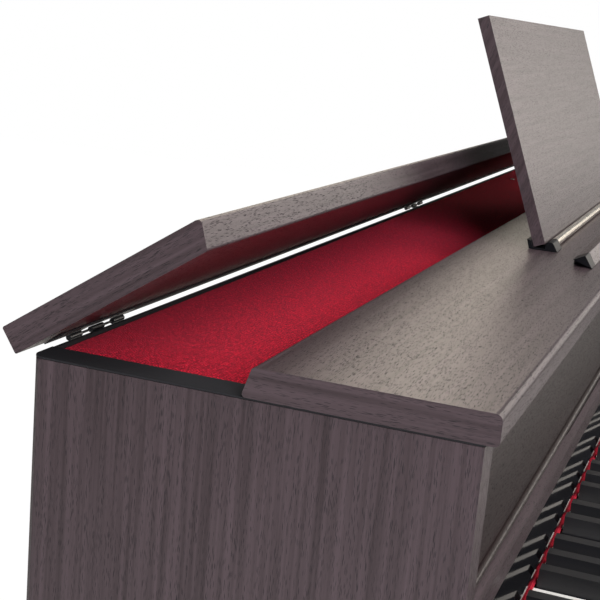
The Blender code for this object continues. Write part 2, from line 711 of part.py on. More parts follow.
button_x = KEYS_HALF - KNOB_FROM_KEYS_END
button_pocket = BUTTON_INSIDE + BUTTON_TRAVEL + RUN
cut(control, face_block("button_pocket", button_x, (-button_pocket, BUTTON_PROUD), GAP, cutters))
button = face_block("power_button", button_x, (-BUTTON_INSIDE, BUTTON_PROUD), 0, piano)
button_origin = face_middle + Vector((button_x, 0, 0))
button.data.transform(Matrix.Translation(-button_origin))
button.location = button_origin

# Keybed, cheeks, key slip and the chassis that carries the keys
box("keybed", inside, (REAR_PANEL_THICK + GAP, SLIP_REAR - GAP), (ARM_BOTTOM, KEYBED_TOP), WOOD)
cheek_front = SLIP_REAR - GAP
cheek_outline = [
    (CHEEK_REAR, KEYBED_TOP + GAP),
    (CHEEK_REAR, cover_bottom(CHEEK_REAR) - GAP),
    (cheek_front, cover_bottom(cheek_front) - GAP),
    (cheek_front, KEYBED_TOP + GAP),
]
for side, sign in (("left", -1), ("right", 1)):
    ends = sorted((sign * CHEEK_IN, sign * (SIDE_IN - GAP)))
    along_x(f"{side}_cheek", cheek_outline, *ends, WOOD)
slip_top = SIDE_TOP - SLIP_TOP_DROP
slip_outline = [
    (SLIP_REAR, ARM_BOTTOM),
    (SLIP_REAR, slip_top),
    *arc((SLIP_FRONT - SLIP_RADIUS, slip_top - SLIP_RADIUS), SLIP_RADIUS, 90, 0, 4),
    (SLIP_FRONT, ARM_BOTTOM),
]
smooth(along_x("key_slip", slip_outline, *inside, WOOD))
chassis_bottom = KEYBED_TOP + GAP
chassis_floor = chassis_bottom + CHASSIS_BASE
riser = (KEY_PIVOT_DEPTH - KEY_BAR, KEY_PIVOT_DEPTH + KEY_BAR)
KEY_DIP_ANGLE = math.radians(2.6)
stop_depth = (BLACK_FRONT + KEY_BAR, BLACK_FRONT + 3 * KEY_BAR)
stop_top = KEY_BOTTOM - (stop_depth[1] - KEY_PIVOT_DEPTH) * math.tan(KEY_DIP_ANGLE) - RUN
chassis_outline = [
    (riser[0] - KEY_BAR, chassis_bottom),
    (riser[0] - KEY_BAR, chassis_floor),
    (riser[0], chassis_floor),
    (riser[0], RISER_TOP),
    (riser[1], RISER_TOP),
    (riser[1], chassis_floor),
    (stop_depth[0], chassis_floor),
    (stop_depth[0], stop_top),
    (stop_depth[1], stop_top),
    (stop_depth[1], chassis_floor),
    (WHITE_FRONT - KEY_BAR, chassis_floor),
    (WHITE_FRONT - KEY_BAR, chassis_bottom),
]
along_x("key_chassis", chassis_outline, -CONTROL_HALF, CONTROL_HALF, GREY)

# Keys. An octave from C has three white keys with two black ones, then four white keys with three black ones.
NAMES = ("c", "cs", "d", "ds", "e", "f", "fs", "g", "gs", "a", "as", "b")
BLACK_NOTES = (1, 3, 6, 8, 10)
FIRST_NOTE = 9  # the lowest key is an A
LAST_KEY = 87


def tail_slot(whites_before_c, note):
    """X of the two sides of a key's tail, where an octave's tails share the room evenly in its two groups."""
    group, whites, tails, first = (0, 3, 5, 0) if note < 5 else (3, 4, 7, 5)
    start = -KEYS_HALF + (whites_before_c + group) * WHITE_PITCH
    width = whites * WHITE_PITCH / tails
    return start + (note - first) * width, start + (note - first + 1) * width


keys = []
whites = 0
for number in range(LAST_KEY + 1):
    note = (number + FIRST_NOTE) % 12
    octave = (number + FIRST_NOTE) // 12
    slot = tail_slot(7 * octave - 5, note)
    is_black = note in BLACK_NOTES
    key = {
        "number": number,
        "name": NAMES[note],
        "octave": octave,
        "slot": slot,
        "black": is_black,
        "white": whites,
    }
    keys.append(key)
    whites += 0 if is_black else 1


def white_points(key, rear):
    """Plan of a white key as (x, depth) points, from its tail's bass corner round by the front."""
    left = -KEYS_HALF + key["white"] * WHITE_PITCH + WHITE_GAP / 2
    right = left + WHITE_PITCH - WHITE_GAP
    lowest, highest = key["number"] == 0, key["number"] == LAST_KEY
    tail_left = left if lowest else max(left, key["slot"][0])
    tail_right = right if highest else min(right, key["slot"][1])
    shoulder = BLACK_FRONT + WHITE_GAP
    points = [(tail_left, rear)]
    if tail_left > left:
        points += [(tail_left, shoulder), (left, shoulder)]
    points += [(left, WHITE_FRONT), (right, WHITE_FRONT)]
    if tail_right < right:
        points += [(right, shoulder), (tail_right, shoulder)]
    return points + [(tail_right, rear)]


def white_block(name, points):
    """A white key, or a bank of them: its plan raised to the top, with a thin lip proud of each front."""
    flat = [(x, REAR - depth) for x, depth in points]
    middle = Matrix.Translation((0, 0, (KEY_BOTTOM + KEY_TOP) / 2))
    obj = sheet(name, flat, WHITE_HEIGHT, middle, IVORY)
    edit = bmesh.new()
    edit.from_mesh(obj.data)
    front = REAR - WHITE_FRONT
    lip_level = KEY_TOP - WHITE_LIP_THICK
    bmesh.ops.bisect_plane(
        edit,
        geom=[*edit.verts, *edit.edges, *edit.faces],
        plane_co=(0, 0, lip_level),
        plane_no=(0, 0, 1),
        dist=1e-7,
    )
    for vert in edit.verts:
        if vert.co.y < front + 1e-6 and vert.co.z < lip_level - 1e-6:
            vert.co.y += WHITE_LIP
        elif vert.co.y < front + 1e-6 and vert.co.z < lip_level + 1e-6:
            vert.co.y += WHITE_LIP / 2
    obj.data.clear_geometry()
    edit.to_mesh(obj.data)
    edit.free()
    return obj


black_stick_bottom = KEY_BOTTOM - 0.002
black_top = KEY_TOP + BLACK_RISE
black_rear = KEY_REAR + 0.002
stick_top = KEY_TOP - 0.0015
black_outline = [
    (black_rear, KEY_BOTTOM),
    (black_rear, stick_top),
    (BLACK_REAR, stick_top),
    (BLACK_REAR, black_top),
    (BLACK_FRONT - BLACK_FRONT_SLOPE, black_top),
    (BLACK_FRONT - BLACK_FRONT_SLOPE / 2, black_top - BLACK_FRONT_SLOPE / 4),
    (BLACK_FRONT, stick_top),
    (BLACK_FRONT, black_stick_bottom),
    (riser[1] + 0.002, black_stick_bottom),
    (riser[1] + 0.002, KEY_BOTTOM),
]


def black_block(name, key, collection=piano):
    """A black key: its side view, narrowed above the white keys."""
    middle = sum(key["slot"]) / 2
    low = middle - BLACK_WIDTH / 2
    obj = along_x(name, black_outline, low, low + BLACK_WIDTH, EBONY, collection=collection)
    for vert in obj.data.vertices:
        if vert.co.z > black_top - BLACK_FRONT_SLOPE / 2:
            vert.co.x = middle + (vert.co.x - middle) * BLACK_TOP_WIDTH / BLACK_WIDTH
    return obj


bank = []
for key in keys:
    if key["number"] >= OWN_PIVOT_KEYS:
        bank.append(key)
        continue
    name = f"key_{key['name']}{key['octave']}"
    if key["black"]:
        hang(black_block(name, key), KEY_AXIS)
    else:
        hang(white_block(name, white_points(key, KEY_REAR)), KEY_AXIS)

bar_rear = KEY_REAR - KEY_BAR
bank_whites = [key for key in bank if not key["black"]]
bank_blacks = [key for key in bank if key["black"]]
plan = []
for key in bank_whites:
    plan += white_points(key, KEY_REAR)
plan = [(plan[0][0], bar_rear), *plan[1:-1], (plan[-1][0], bar_rear)]
hang(white_block("white_key_bank", plan), KEY_AXIS)

bar_bottom = black_stick_bottom - KEY_BAR
bar_middles = [sum(key["slot"]) / 2 for key in (bank_blacks[0], bank_blacks[-1])]
bar_front = riser[1] + 0.003 + KEY_BAR
black_bank = box(
    "black_key_bank",
    (bar_middles[0] - BLACK_WIDTH / 2 + GAP, bar_middles[1] + BLACK_WIDTH / 2 - GAP),
    (riser[1] + 0.003, bar_front),
    (bar_bottom, black_stick_bottom + 0.0008),
    EBONY,
)
joined = bmesh.new()
for key in bank_blacks:
    single = black_block(f"bank_{key['name']}{key['octave']}", key, cutters)
    joined.from_mesh(single.data)
    bpy.data.objects.remove(single)
bank_tool = keep("black_bank_keys", mesh_of("black_bank_keys", joined), EBONY, cutters)
cut(black_bank, bank_tool, "UNION")
for obj in (black_bank, bank_tool):
    hang(obj, KEY_AXIS)


# Music desk, leaning back from the rod along its front; its feet on the top board hold the rod's journals
def desk_point(up, back):
    """Depth and height of a point on the desk: up along it from the rod's axis, and back square to it."""
    depth = ROD_DEPTH - up * math.sin(DESK_LEAN) - back * math.cos(DESK_LEAN)
    return depth, ROD_AXIS.z + up * math.cos(DESK_LEAN) - back * math.sin(DESK_LEAN)


desk_front = ROD_RADIUS + GAP
desk_back = desk_front + DESK_THICK
foot_floor = BOARD_TOP + GAP
desk_floor = foot_floor + FOOT_BASE + GAP
desk_low = (desk_floor - ROD_AXIS.z + desk_back * math.sin(DESK_LEAN)) / math.cos(DESK_LEAN)
desk_high = desk_low + DESK_HEIGHT
desk_outline = [
    desk_point(desk_low, desk_back),
    desk_point(desk_high, desk_back),
    desk_point(desk_high, desk_front),
    desk_point(desk_low, desk_front),
]
hang(along_x("music_desk", desk_outline, -DESK_HALF_WIDTH, DESK_HALF_WIDTH, WOOD), ROD_AXIS)

foot_outer = DESK_HALF_WIDTH + FOOT_OUTSIDE
foot_inner = foot_outer - FOOT_LENGTH
ear_low = desk_point(desk_low, desk_back + GAP)
ear_high = desk_point(desk_low + FOOT_EAR_HEIGHT, desk_back + GAP)
foot_outline = [
    (ear_low[0] - FOOT_EAR_THICK, foot_floor),
    (ear_high[0] - FOOT_EAR_THICK, ear_high[1] + FOOT_EAR_THICK / 4),
    ear_high,
    (ear_low[0], foot_floor + FOOT_BASE),
    (ROD_DEPTH - FOOT_BLOCK_RADIUS, foot_floor + FOOT_BASE),
    *arc((ROD_DEPTH, ROD_AXIS.z), FOOT_BLOCK_RADIUS, 180, 30, 6),
    (ROD_DEPTH + FOOT_TOE, foot_floor),
]
bore_end = foot_outer - FOOT_END_WALL
for side, sign in (("left", -1), ("right", 1)):
    ends = sorted((sign * foot_inner, sign * foot_outer))
    foot = along_x(f"desk_foot_{side}", foot_outline, *ends, BLACK)
    smooth(foot)
    reach = sorted((sign * (foot_inner - RUN), sign * bore_end))
    cut(foot, rod(f"{side}_journal_bore", reach, ROD_AXIS, JOURNAL_RADIUS + GAP, BLACK, collection=cutters))
desk_rod = rod("desk_rod", (-foot_inner + GAP, foot_inner - GAP), ROD_AXIS, ROD_RADIUS, BRIGHT, segments=20)
journal_ends = (-bore_end + GAP, bore_end - GAP)
journals = rod("rod_journals", journal_ends, ROD_AXIS, JOURNAL_RADIUS, BRIGHT, collection=cutters)
cut(desk_rod, journals, "UNION")
for obj in (desk_rod, journals):
    hang(obj, ROD_AXIS)

# Page ledge with its end caps
ledge_floor = BOARD_TOP + GAP
crest_depth = LEDGE_REAR + LEDGE_REAR_SLOPE
ledge_outline = rounded(
    (LEDGE_REAR, ledge_floor, 0),
    (LEDGE_REAR, BOARD_TOP + LEDGE_REAR_HEIGHT, LEDGE_ARRIS),
    (crest_depth, BOARD_TOP + LEDGE_CREST_HEIGHT, LEDGE_ARRIS),
    (crest_depth + LEDGE_FRONT_SLOPE, ledge_floor, 0),
)
along_x("page_ledge", ledge_outline, -LEDGE_HALF_LENGTH, LEDGE_HALF_LENGTH, WOOD)
cap_outer = LEDGE_HALF_LENGTH + GAP + CAP_LENGTH
for side, sign in (("left", -1), ("right", 1)):
    ends = sorted((sign * (LEDGE_HALF_LENGTH + GAP), sign * cap_outer))
    cap = along_x(f"ledge_cap_{side}", ledge_outline, *ends, BLACK)
    for vert in cap.data.vertices:
        if abs(vert.co.x) > cap_outer - GAP and vert.co.y > REAR - LEDGE_REAR - GAP:
            vert.co.x -= sign * CAP_END_SLANT

# Toe blocks with their glides, front legs and the kick panel
toe_outline = [
    (0, GLIDE_HEIGHT),
    (0, TOE_HEIGHT),
    *arc((TOE_DEPTH - TOE_RADIUS, TOE_HEIGHT - TOE_RADIUS), TOE_RADIUS, 90, 0, 4),
    (TOE_DEPTH, GLIDE_HEIGHT),
]
glide_depths = (TOE_WIDTH, TOE_DEPTH - TOE_WIDTH)
for side, sign in (("left", -1), ("right", 1)):
    ends = sorted((sign * (SIDE_OUT - TOE_WIDTH), sign * SIDE_OUT))
    toe = along_x(f"{side}_toe_block", toe_outline, *ends, WOOD)
    for number, depth in enumerate(glide_depths):
        edit = bmesh.new()
        place = Matrix.Translation((sum(ends) / 2, REAR - depth, GLIDE_HEIGHT))
        bmesh.ops.create_cone(
            edit,
            cap_ends=True,
            segments=16,
            radius1=GLIDE_RADIUS,
            radius2=GLIDE_RADIUS,
            depth=2 * GLIDE_HEIGHT,
            matrix=place,
        )
        cut(toe, keep(f"{side}_glide_{number}", mesh_of("glide", edit), BLACK, cutters), "UNION")
    leg_bottom = TOE_HEIGHT + GAP
    leg = box(f"{side}_leg", ends, (LEG_FRONT - LEG_SIZE, LEG_FRONT), (leg_bottom, ARM_BOTTOM - GAP), WOOD)
    leg_x = sum(ends) / 2
    leg_y = REAR - LEG_FRONT + LEG_SIZE / 2
    for vert in leg.data.vertices:
        if vert.co.z < leg_bottom + GAP:
            vert.co.x = leg_x + (vert.co.x - leg_x) * LEG_FOOT_SIZE / LEG_SIZE
            vert.co.y = leg_y + (vert.co.y - leg_y) * LEG_FOOT_SIZE / LEG_SIZE
kick_front = KICK_REAR + KICK_THICK
box("kick_panel", inside, (KICK_REAR, kick_front), (TOE_HEIGHT + GAP, KICK_TOP), WOOD)

# Pedal box with a notch and an axle for each pedal, and a screwed foot under it
pedal_box = box(
    "pedal_box",
    (-PEDAL_BOX_HALF_WIDTH, PEDAL_BOX_HALF_WIDTH),
    (kick_front + GAP, PEDAL_BOX_FRONT),
    (PEDAL_BOX_BOTTOM, PEDAL_BOX_TOP),
    BLACK,
)
pedal_rear = PEDAL_AXLE_DEPTH - PEDAL_THICK
pedals = (("soft_pedal", -PEDAL_SPACING), ("sostenuto_pedal", 0.0), ("damper_pedal", PEDAL_SPACING))
for name, middle in pedals:
    notch_half = PEDAL_WIDTH / 2 + PEDAL_NOTCH_CLEARANCE
    notch_height = (PEDAL_LEVEL - PEDAL_NOTCH_HEIGHT / 2, PEDAL_LEVEL + PEDAL_NOTCH_HEIGHT / 2)
    notch = box(
        f"{name}_notch",
        (middle - notch_half, middle + notch_half),
        (PEDAL_NOTCH_BACK, PEDAL_BOX_FRONT + PEDAL_THICK),
        notch_height,
        BLACK,
        cutters,
    )
    cut(pedal_box, notch)
    axle_half = notch_half + PEDAL_THICK
    axle_ends = (middle - axle_half, middle + axle_half)
    axle = rod(f"{name}_axle", axle_ends, PEDAL_AXIS, PEDAL_AXLE_RADIUS, BLACK, 12, cutters)
    cut(pedal_box, axle, "UNION")
for name, middle in pedals:
    toe_centre = PEDAL_FRONT - PEDAL_TOE_WIDTH / 2
    neck = PEDAL_BOX_FRONT + PEDAL_NECK_SHARE * (toe_centre - PEDAL_BOX_FRONT)
    half = PEDAL_WIDTH / 2
    toe = PEDAL_TOE_WIDTH / 2
    turns = [math.radians(turn) for turn in range(90, -91, -20)]
    tip = [(toe * math.sin(turn), toe_centre + toe * math.cos(turn)) for turn in turns]
    plan = [(half, pedal_rear), (half, neck), *tip, (-half, neck), (-half, pedal_rear)]
    points = [(middle + x, REAR - depth) for x, depth in plan]
    lever = sheet(name, points, PEDAL_THICK, Matrix.Translation((0, 0, PEDAL_LEVEL)), BRASS)
    bore_ends = (middle - PEDAL_WIDTH, middle + PEDAL_WIDTH)
    bore = rod(f"{name}_bore", bore_ends, PEDAL_AXIS, PEDAL_AXLE_RADIUS + GAP, BRASS, 16, cutters)
    cut(lever, bore)
    for obj in (lever, bore):
        hang(obj, PEDAL_AXIS)

adjuster_depth = (kick_front + PEDAL_BOX_FRONT) / 2
adjuster_place = Vector((0, REAR - adjuster_depth, ADJUSTER_FLOOR_GAP))
stem_top = PEDAL_BOX_BOTTOM + ADJUSTER_TRAVEL
adjuster_profile = [
    (0, 0),
    (ADJUSTER_RADIUS * ADJUSTER_FACE, 0),
    (ADJUSTER_RADIUS, ADJUSTER_HEIGHT * ADJUSTER_EDGE),
    (ADJUSTER_RADIUS, ADJUSTER_HEIGHT * (1 - ADJUSTER_EDGE)),
    (ADJUSTER_RADIUS * ADJUSTER_FACE, ADJUSTER_HEIGHT),
    (ADJUSTER_STEM_RADIUS, ADJUSTER_HEIGHT),
    (ADJUSTER_STEM_RADIUS, stem_top),
    (0, stem_top),
]
adjuster = turned("pedal_adjuster", adjuster_profile, Matrix.Identity(4), BLACK)
adjuster.location = adjuster_place
socket = bmesh.new()
socket_top = stem_top + ADJUSTER_TRAVEL + ADJUSTER_FLOOR_GAP + RUN
socket_height = socket_top - PEDAL_BOX_BOTTOM + RUN
bmesh.ops.create_cone(
    socket,
    cap_ends=True,
    segments=24,
    radius1=ADJUSTER_STEM_RADIUS + GAP,
    radius2=ADJUSTER_STEM_RADIUS + GAP,
    depth=socket_height,
    matrix=Matrix.Translation((0, adjuster_place.y, socket_top - socket_height / 2)),
)
cut(pedal_box, keep("adjuster_socket", mesh_of("adjuster_socket", socket), BLACK, cutters))

# Power inlet on the rear panel: a housing with a two-pole socket
inlet_level = SIDE_TOP - INLET_DROP
inlet = box(
    "power_inlet",
    (INLET_X - INLET_WIDTH / 2, INLET_X + INLET_WIDTH / 2),
    (-GAP - INLET_PROUD, -GAP),
    (inlet_level - INLET_HEIGHT / 2, inlet_level + INLET_HEIGHT / 2),
    BLACK,
)
socket_back = -GAP - INLET_PROUD + SOCKET_DEPTH
pocket = box(
    "inlet_pocket",
    (INLET_X - SOCKET_WIDTH / 2, INLET_X + SOCKET_WIDTH / 2),
    (-GAP - INLET_PROUD - RUN, socket_back),
    (inlet_level - SOCKET_HEIGHT / 2, inlet_level + SOCKET_HEIGHT / 2),
    BLACK,
    cutters,
)
cut(inlet, pocket)
prong_length = SOCKET_DEPTH * 0.7
for number, sign in enumerate((-1, 1)):
    edit = bmesh.new()
    prong_middle = REAR - socket_back + prong_length / 2 - PRONG_RADIUS / 2
    place = Matrix.Translation((INLET_X + sign * PRONG_SPACING / 2, prong_middle, inlet_level))
    bmesh.ops.create_cone(
        edit,
        cap_ends=True,
        segments=10,
        radius1=PRONG_RADIUS,
        radius2=PRONG_RADIUS,
        depth=prong_length + PRONG_RADIUS,
        matrix=place @ Matrix.Rotation(math.pi / 2, 4, "X"),
    )
    cut(inlet, keep(f"inlet_prong_{number}", mesh_of("prong", edit), BRIGHT, cutters), "UNION")
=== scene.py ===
# %% [markdown]
# # A console digital piano, seen over its open lid
# The solids of the piano come ready made, in metres, with +Z up and the player at -Y. This lesson gives
# them their finishes, adds the soft pieces that solids can't stand for, and lights and frames the view.
# Each object keeps its place in its mesh, so patterns in object coordinates are patterns in metres.

import math

import bpy
from mathutils import Matrix, Vector


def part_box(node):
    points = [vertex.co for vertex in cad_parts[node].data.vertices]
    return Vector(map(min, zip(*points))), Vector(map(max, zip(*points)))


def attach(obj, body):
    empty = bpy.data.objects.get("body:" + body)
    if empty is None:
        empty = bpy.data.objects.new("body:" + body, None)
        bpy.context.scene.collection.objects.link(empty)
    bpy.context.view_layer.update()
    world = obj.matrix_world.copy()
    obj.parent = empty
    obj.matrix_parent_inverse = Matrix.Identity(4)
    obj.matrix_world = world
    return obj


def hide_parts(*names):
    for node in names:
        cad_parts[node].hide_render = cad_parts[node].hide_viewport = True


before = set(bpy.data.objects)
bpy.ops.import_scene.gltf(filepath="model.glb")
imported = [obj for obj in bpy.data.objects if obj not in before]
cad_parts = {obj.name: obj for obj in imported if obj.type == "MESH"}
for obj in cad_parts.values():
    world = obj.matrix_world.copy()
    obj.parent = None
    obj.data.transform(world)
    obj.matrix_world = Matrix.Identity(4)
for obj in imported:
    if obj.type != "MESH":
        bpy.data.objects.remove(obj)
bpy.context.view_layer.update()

# %% [markdown]
# ## Names for places
# Depths on this piano are measured from the rear face of its side panels, so that face is read from the
# frame first. The other values are read from the pieces that the new ones rest on.

# %% Read the places that the rest is set from
MM = 0.001
side_low, side_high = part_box("left_side_panel")
REAR_Y = side_high[1]
SIDE_TOP = side_high[2]
print("rear face at y =", round(REAR_Y, 4), "side top at z =", round(SIDE_TOP, 4))

# %% [markdown]
# ## Camera
# The picture was taken with a long lens from beside the bass end, a little above the lid, and the camera
# was tipped a few degrees to one side. Its place is given from the bass end of the cabinet, and its three
# turns build the axes of its matrix.

# %% Place the camera
CAMERA_BEYOND_END = 508.25 * MM
CAMERA_BEHIND_REAR = -323.33 * MM
CAMERA_OVER_SIDE = 172.46 * MM
YAW, PITCH, ROLL = (math.radians(turn) for turn in (19.98, -12.636, 5.01))
LENS_MM = 74.286

ahead = Vector((math.cos(PITCH) * math.cos(YAW), math.cos(PITCH) * math.sin(YAW), math.sin(PITCH)))
level_right = Vector((math.sin(YAW), -math.cos(YAW), 0))
level_up = level_right.cross(ahead)
camera_right = math.cos(ROLL) * level_right + math.sin(ROLL) * level_up
camera_up = math.cos(ROLL) * level_up - math.sin(ROLL) * level_right

camera_data = bpy.data.cameras.new("camera")
camera_data.lens = LENS_MM
camera_data.sensor_width = 36
camera = bpy.data.objects.new("camera", camera_data)
bpy.context.scene.collection.objects.link(camera)
axes = Matrix((camera_right, camera_up, -ahead)).transposed().to_4x4()
place = Vector((side_low[0] - CAMERA_BEYOND_END, REAR_Y + CAMERA_BEHIND_REAR, SIDE_TOP + CAMERA_OVER_SIDE))
camera.matrix_world = Matrix.Translation(place) @ axes
bpy.context.scene.camera = camera
print("camera at", [round(value, 3) for value in place])

# %% [markdown]
# ## Building materials
# A finish is a small graph of nodes. One helper adds a node with its settings and links, and one turns a
# hex colour, as a paint chart gives it, into the linear numbers that the renderer works in.


# %% Helpers for materials
def colour(hex_code):
    channels = [int(hex_code[start : start + 2], 16) / 255 for start in (0, 2, 4)]
    linear = [c / 12.92 if c <= 0.04045 else ((c + 0.055) / 1.055) ** 2.4 for c in channels]
    return (*linear, 1)


def new_finish(name, **sockets):
    finish = bpy.data.materials.new(name)
    finish.use_nodes = True
    shader = finish.node_tree.nodes["Principled BSDF"]
    for socket, value in sockets.items():
        shader.inputs[socket.replace("_", " ")].default_value = value
    return finish, shader


def add(finish, kind, links=None, stops=None, inputs=None, **settings):
    """Adds a node: settings name its properties, inputs its socket values, links feed its sockets, and
    stops are the places and colours of a ramp."""
    node = finish.node_tree.nodes.new(kind)
    for name, value in settings.items():
        setattr(node, name, value)
    for name, value in (inputs or {}).items():
        node.inputs[name].default_value = value
    for name, source in (links or {}).items():
        finish.node_tree.links.new(source, node.inputs[name])
    for index, (spot, tint) in enumerate(stops or ()):
        elements = node.color_ramp.elements
        element = elements[index] if index < 2 else elements.new(spot)
        element.position = spot
        element.color = tint
    return node


def grey(value):
    return (value, value, value, 1)


def dress(finish, *names):
    for name in names:
        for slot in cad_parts[name].material_slots:
            slot.material = finish


print("helpers ready; mid grey is", round(colour("808080")[0], 3))

# %% [markdown]
# ## Stained open-pored wood foil
# The cabinet is chipboard under a printed foil that copies dark rosewood: a brown-grey ground, slow
# streaks along the grain, and short black pores pressed into it. The pores are cells of a Voronoi
# pattern drawn out along the grain. Real pores are about 0.3 mm wide; they are drawn about 1 mm wide so
# that they show. A board's cut ends wear an edge band, whose pores run along the end, so where a face
# looks along X the pattern of the band takes over.
# The front panel stands in the board's shade, and that shade is painted into its foil: a darker variant with less
# shine.

# %% The wood finish
PORE_WIDTH = 1.8 * MM
PORE_LENGTH = 30 * MM
STREAK_WIDTH = 2.6 * MM
STREAK_LENGTH = 160 * MM
LENGTHWISE = {"x": (1, 0, 0), "y": (0, 1, 0), "z": (0, 0, 1)}


def grain_scale(axis, length, width):
    return tuple(1 / length if along else 1 / width for along in LENGTHWISE[axis])


def grain(finish, place_socket, axis, tilt):
    """The pores and streaks of one grain direction, as two grey values."""
    straight = add(finish, "ShaderNodeMapping", {"Vector": place_socket}, inputs={"Rotation": (tilt, 0, 0)})
    pore_place = add(
        finish,
        "ShaderNodeMapping",
        {"Vector": straight.outputs[0]},
        inputs={"Scale": grain_scale(axis, PORE_LENGTH, PORE_WIDTH)},
    )
    wobble = add(finish, "ShaderNodeTexNoise", {"Vector": pore_place.outputs[0]}, inputs={"Scale": 0.25, "Detail": 1})
    shaken = add(
        finish,
        "ShaderNodeVectorMath",
        {0: pore_place.outputs[0], 1: wobble.outputs["Color"]},
        operation="ADD",
    )
    cells = add(
        finish, "ShaderNodeTexVoronoi", {"Vector": shaken.outputs[0]}, feature="F1", inputs={"Randomness": 1}
    )
    pores = add(
        finish,
        "ShaderNodeValToRGB",
        {"Fac": cells.outputs["Distance"]},
        stops=((0.24, grey(1)), (0.39, grey(0))),
    )
    chance = add(finish, "ShaderNodeSeparateColor", {"Color": cells.outputs["Color"]})
    kept = add(
        finish,
        "ShaderNodeValToRGB",
        {"Fac": chance.outputs[0]},
        stops=((0.18, grey(0)), (0.62, grey(1))),
    )
    pore = add(
        finish,
        "ShaderNodeMath",
        {0: pores.outputs["Color"], 1: kept.outputs["Color"]},
        operation="MULTIPLY",
    )
    streak_place = add(
        finish,
        "ShaderNodeMapping",
        {"Vector": straight.outputs[0]},
        inputs={"Scale": grain_scale(axis, STREAK_LENGTH, STREAK_WIDTH)},
    )
    streaks = add(
        finish, "ShaderNodeTexNoise", {"Vector": streak_place.outputs[0]}, inputs={"Scale": 1, "Detail": 4}
    )
    return pore.outputs[0], streaks.outputs["Fac"]


def wood(name, axis, band="y", tilt=0.0, dark="332829", light="4c3f41", shine=0.5):
    finish, shader = new_finish(name, IOR=1.46, Specular_IOR_Level=shine)
    spot = add(finish, "ShaderNodeTexCoord")
    pore, streak = grain(finish, spot.outputs["Object"], axis, 0)
    end_pore, end_streak = grain(finish, spot.outputs["Object"], band, tilt)
    facing = add(finish, "ShaderNodeSeparateXYZ", {"Vector": spot.outputs["Normal"]})
    square = add(finish, "ShaderNodeMath", {0: facing.outputs["X"]}, operation="ABSOLUTE")
    is_end = add(finish, "ShaderNodeMath", {0: square.outputs[0]}, operation="GREATER_THAN", inputs={1: 0.7})
    pore = add(
        finish, "ShaderNodeMix", {"Factor": is_end.outputs[0], "A": pore, "B": end_pore}, data_type="FLOAT"
    ).outputs[0]
    streak = add(
        finish, "ShaderNodeMix", {"Factor": is_end.outputs[0], "A": streak, "B": end_streak}, data_type="FLOAT"
    ).outputs[0]
    ground = add(
        finish, "ShaderNodeValToRGB", {"Fac": streak}, stops=((0.3, colour(dark)), (0.7, colour(light)))
    )
    stained = add(
        finish,
        "ShaderNodeMix",
        {"A": ground.outputs["Color"]},
        data_type="RGBA",
        inputs={"B": colour("0c0708")},
    )
    depth = add(finish, "ShaderNodeMath", {0: pore}, operation="MULTIPLY", inputs={1: 0.95})
    finish.node_tree.links.new(depth.outputs[0], stained.inputs["Factor"])
    finish.node_tree.links.new(stained.outputs["Result"], shader.inputs["Base Color"])
    rough = add(
        finish,
        "ShaderNodeMapRange",
        {"Value": pore},
        inputs={"To Min": 0.36, "To Max": 0.70},
    )
    finish.node_tree.links.new(rough.outputs[0], shader.inputs["Roughness"])
    bump = add(
        finish,
        "ShaderNodeBump",
        {"Height": pore},
        invert=True,
        inputs={"Strength": 0.35, "Distance": 0.0002},
    )
    finish.node_tree.links.new(bump.outputs[0], shader.inputs["Normal"])
    return finish


LID_TILT = math.radians(33.7)
long_wood = wood("rosewood_foil_lengthwise", "x")
upright_wood = wood("rosewood_foil_upright", "z", band="z")
lid_wood = wood("rosewood_foil_lid", "x", band="y", tilt=LID_TILT)
desk_wood = wood("rosewood_foil_desk", "x", band="z", tilt=math.radians(-21))
toe_wood = wood("rosewood_foil_toes", "y")
# Painted shade: the front panel's foil gets darker colours and a lower shine for the board's shadow over it.
front_wood_painted_shade = wood("rosewood_foil_front_painted_shade", "x", dark="1e1615", light="302524", shine=0.22)
dress(long_wood, "top_board", "page_ledge", "key_cover", "key_slip", "kick_panel", "keybed")
dress(upright_wood, "left_side_panel", "right_side_panel", "left_leg", "right_leg")
dress(lid_wood, "lid")
dress(front_wood_painted_shade, "front_panel")
dress(desk_wood, "music_desk")
dress(toe_wood, "left_toe_block", "right_toe_block", "left_cheek", "right_cheek")
print("wood on", sum(node.active_material.name.startswith("rosewood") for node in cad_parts.values()), "nodes")

# %% [markdown]
# ## Moulded, painted and lacquered black
# The desk's feet, ledge caps, rail and seals are ABS or soft strip with a fine moulded texture. The
# hinges are steel under black paint. The control panel is high-gloss acrylic, and the black keys are a
# matt plastic that copies ebony. They share one recipe, a noise for the skin of the surface, with the
# grit, gloss and depth of each.


